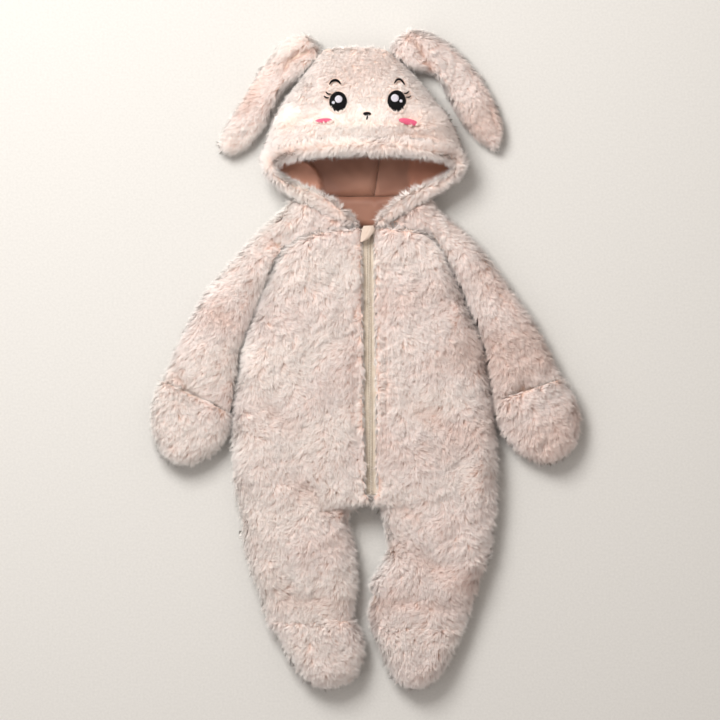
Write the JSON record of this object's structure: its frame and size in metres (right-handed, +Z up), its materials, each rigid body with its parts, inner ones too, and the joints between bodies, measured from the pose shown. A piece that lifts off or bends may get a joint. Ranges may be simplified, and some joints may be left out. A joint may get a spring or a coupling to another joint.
{
  "type": "animal onesie",
  "caption": "Hooded plush baby onesie with rabbit ears, fold-over mittens, feet and a front zip, laid flat on its back.",
  "frame": {"origin": "middle of the garment's box in plan, on the surface that it lies on", "axes": "+Z up from the surface to the front of the garment, +Y from the feet to the ears, +X to the right of someone who looks down on it"},
  "size_m": [0.536, 0.822, 0.0887],
  "materials": {
    "long_plush": "pale pink-beige plush with a long soft pile",
    "short_plush": "the same plush with a shorter brushed pile",
    "lining": "smooth satin, brown-pink",
    "guard": "smooth cream cloth",
    "tape": "woven zip tape, beige",
    "zip_metal": "beige zip teeth and slider",
    "thread_black": "black embroidery thread, satin stitch",
    "thread_white": "white embroidery thread",
    "thread_pink": "pink embroidery thread",
    "label": "blank white woven tape"
  },
  "bodies": {
    "root": {"back_left": "long_plush", "back_right": "long_plush", "brow_left": "thread_black", "brow_right": "thread_black", "cheek_left": "thread_pink", "cheek_right": "thread_pink", "ear_back_left": "long_plush", "ear_back_right": "long_plush", "ear_front_left": "long_plush", "ear_front_right": "long_plush", "eye_left": "thread_black", "eye_right": "thread_black", "foot_sole_left": "long_plush", "foot_sole_right": "long_plush", "foot_top_left": "long_plush", "foot_top_right": "long_plush", "front_left": "long_plush", "front_right": "long_plush", "glint_left_large": "thread_white", "glint_left_small": "thread_white", "glint_right_large": "thread_white", "glint_right_small": "thread_white", "hood_back": "long_plush", "hood_band": "short_plush", "hood_front": "short_plush", "lash_left_lower": "thread_black", "lash_left_upper": "thread_black", "lash_right_lower": "thread_black", "lash_right_upper": "thread_black", "lining_back_left": "lining", "lining_back_right": "lining", "lining_roof": "lining", "mitten_bottom_left": "long_plush", "mitten_bottom_right": "long_plush", "mitten_top_left": "long_plush", "mitten_top_right": "long_plush", "neck_facing": "lining", "nose": "thread_black", "nose_stem": "thread_black", "side_label": "label", "sleeve_left": "long_plush", "sleeve_right": "long_plush", "zip_chain": "zip_metal", "zip_guard": "guard", "zip_slider": "zip_metal", "zip_tape_left": "tape", "zip_tape_right": "tape"}
  },
  "joints": []
}
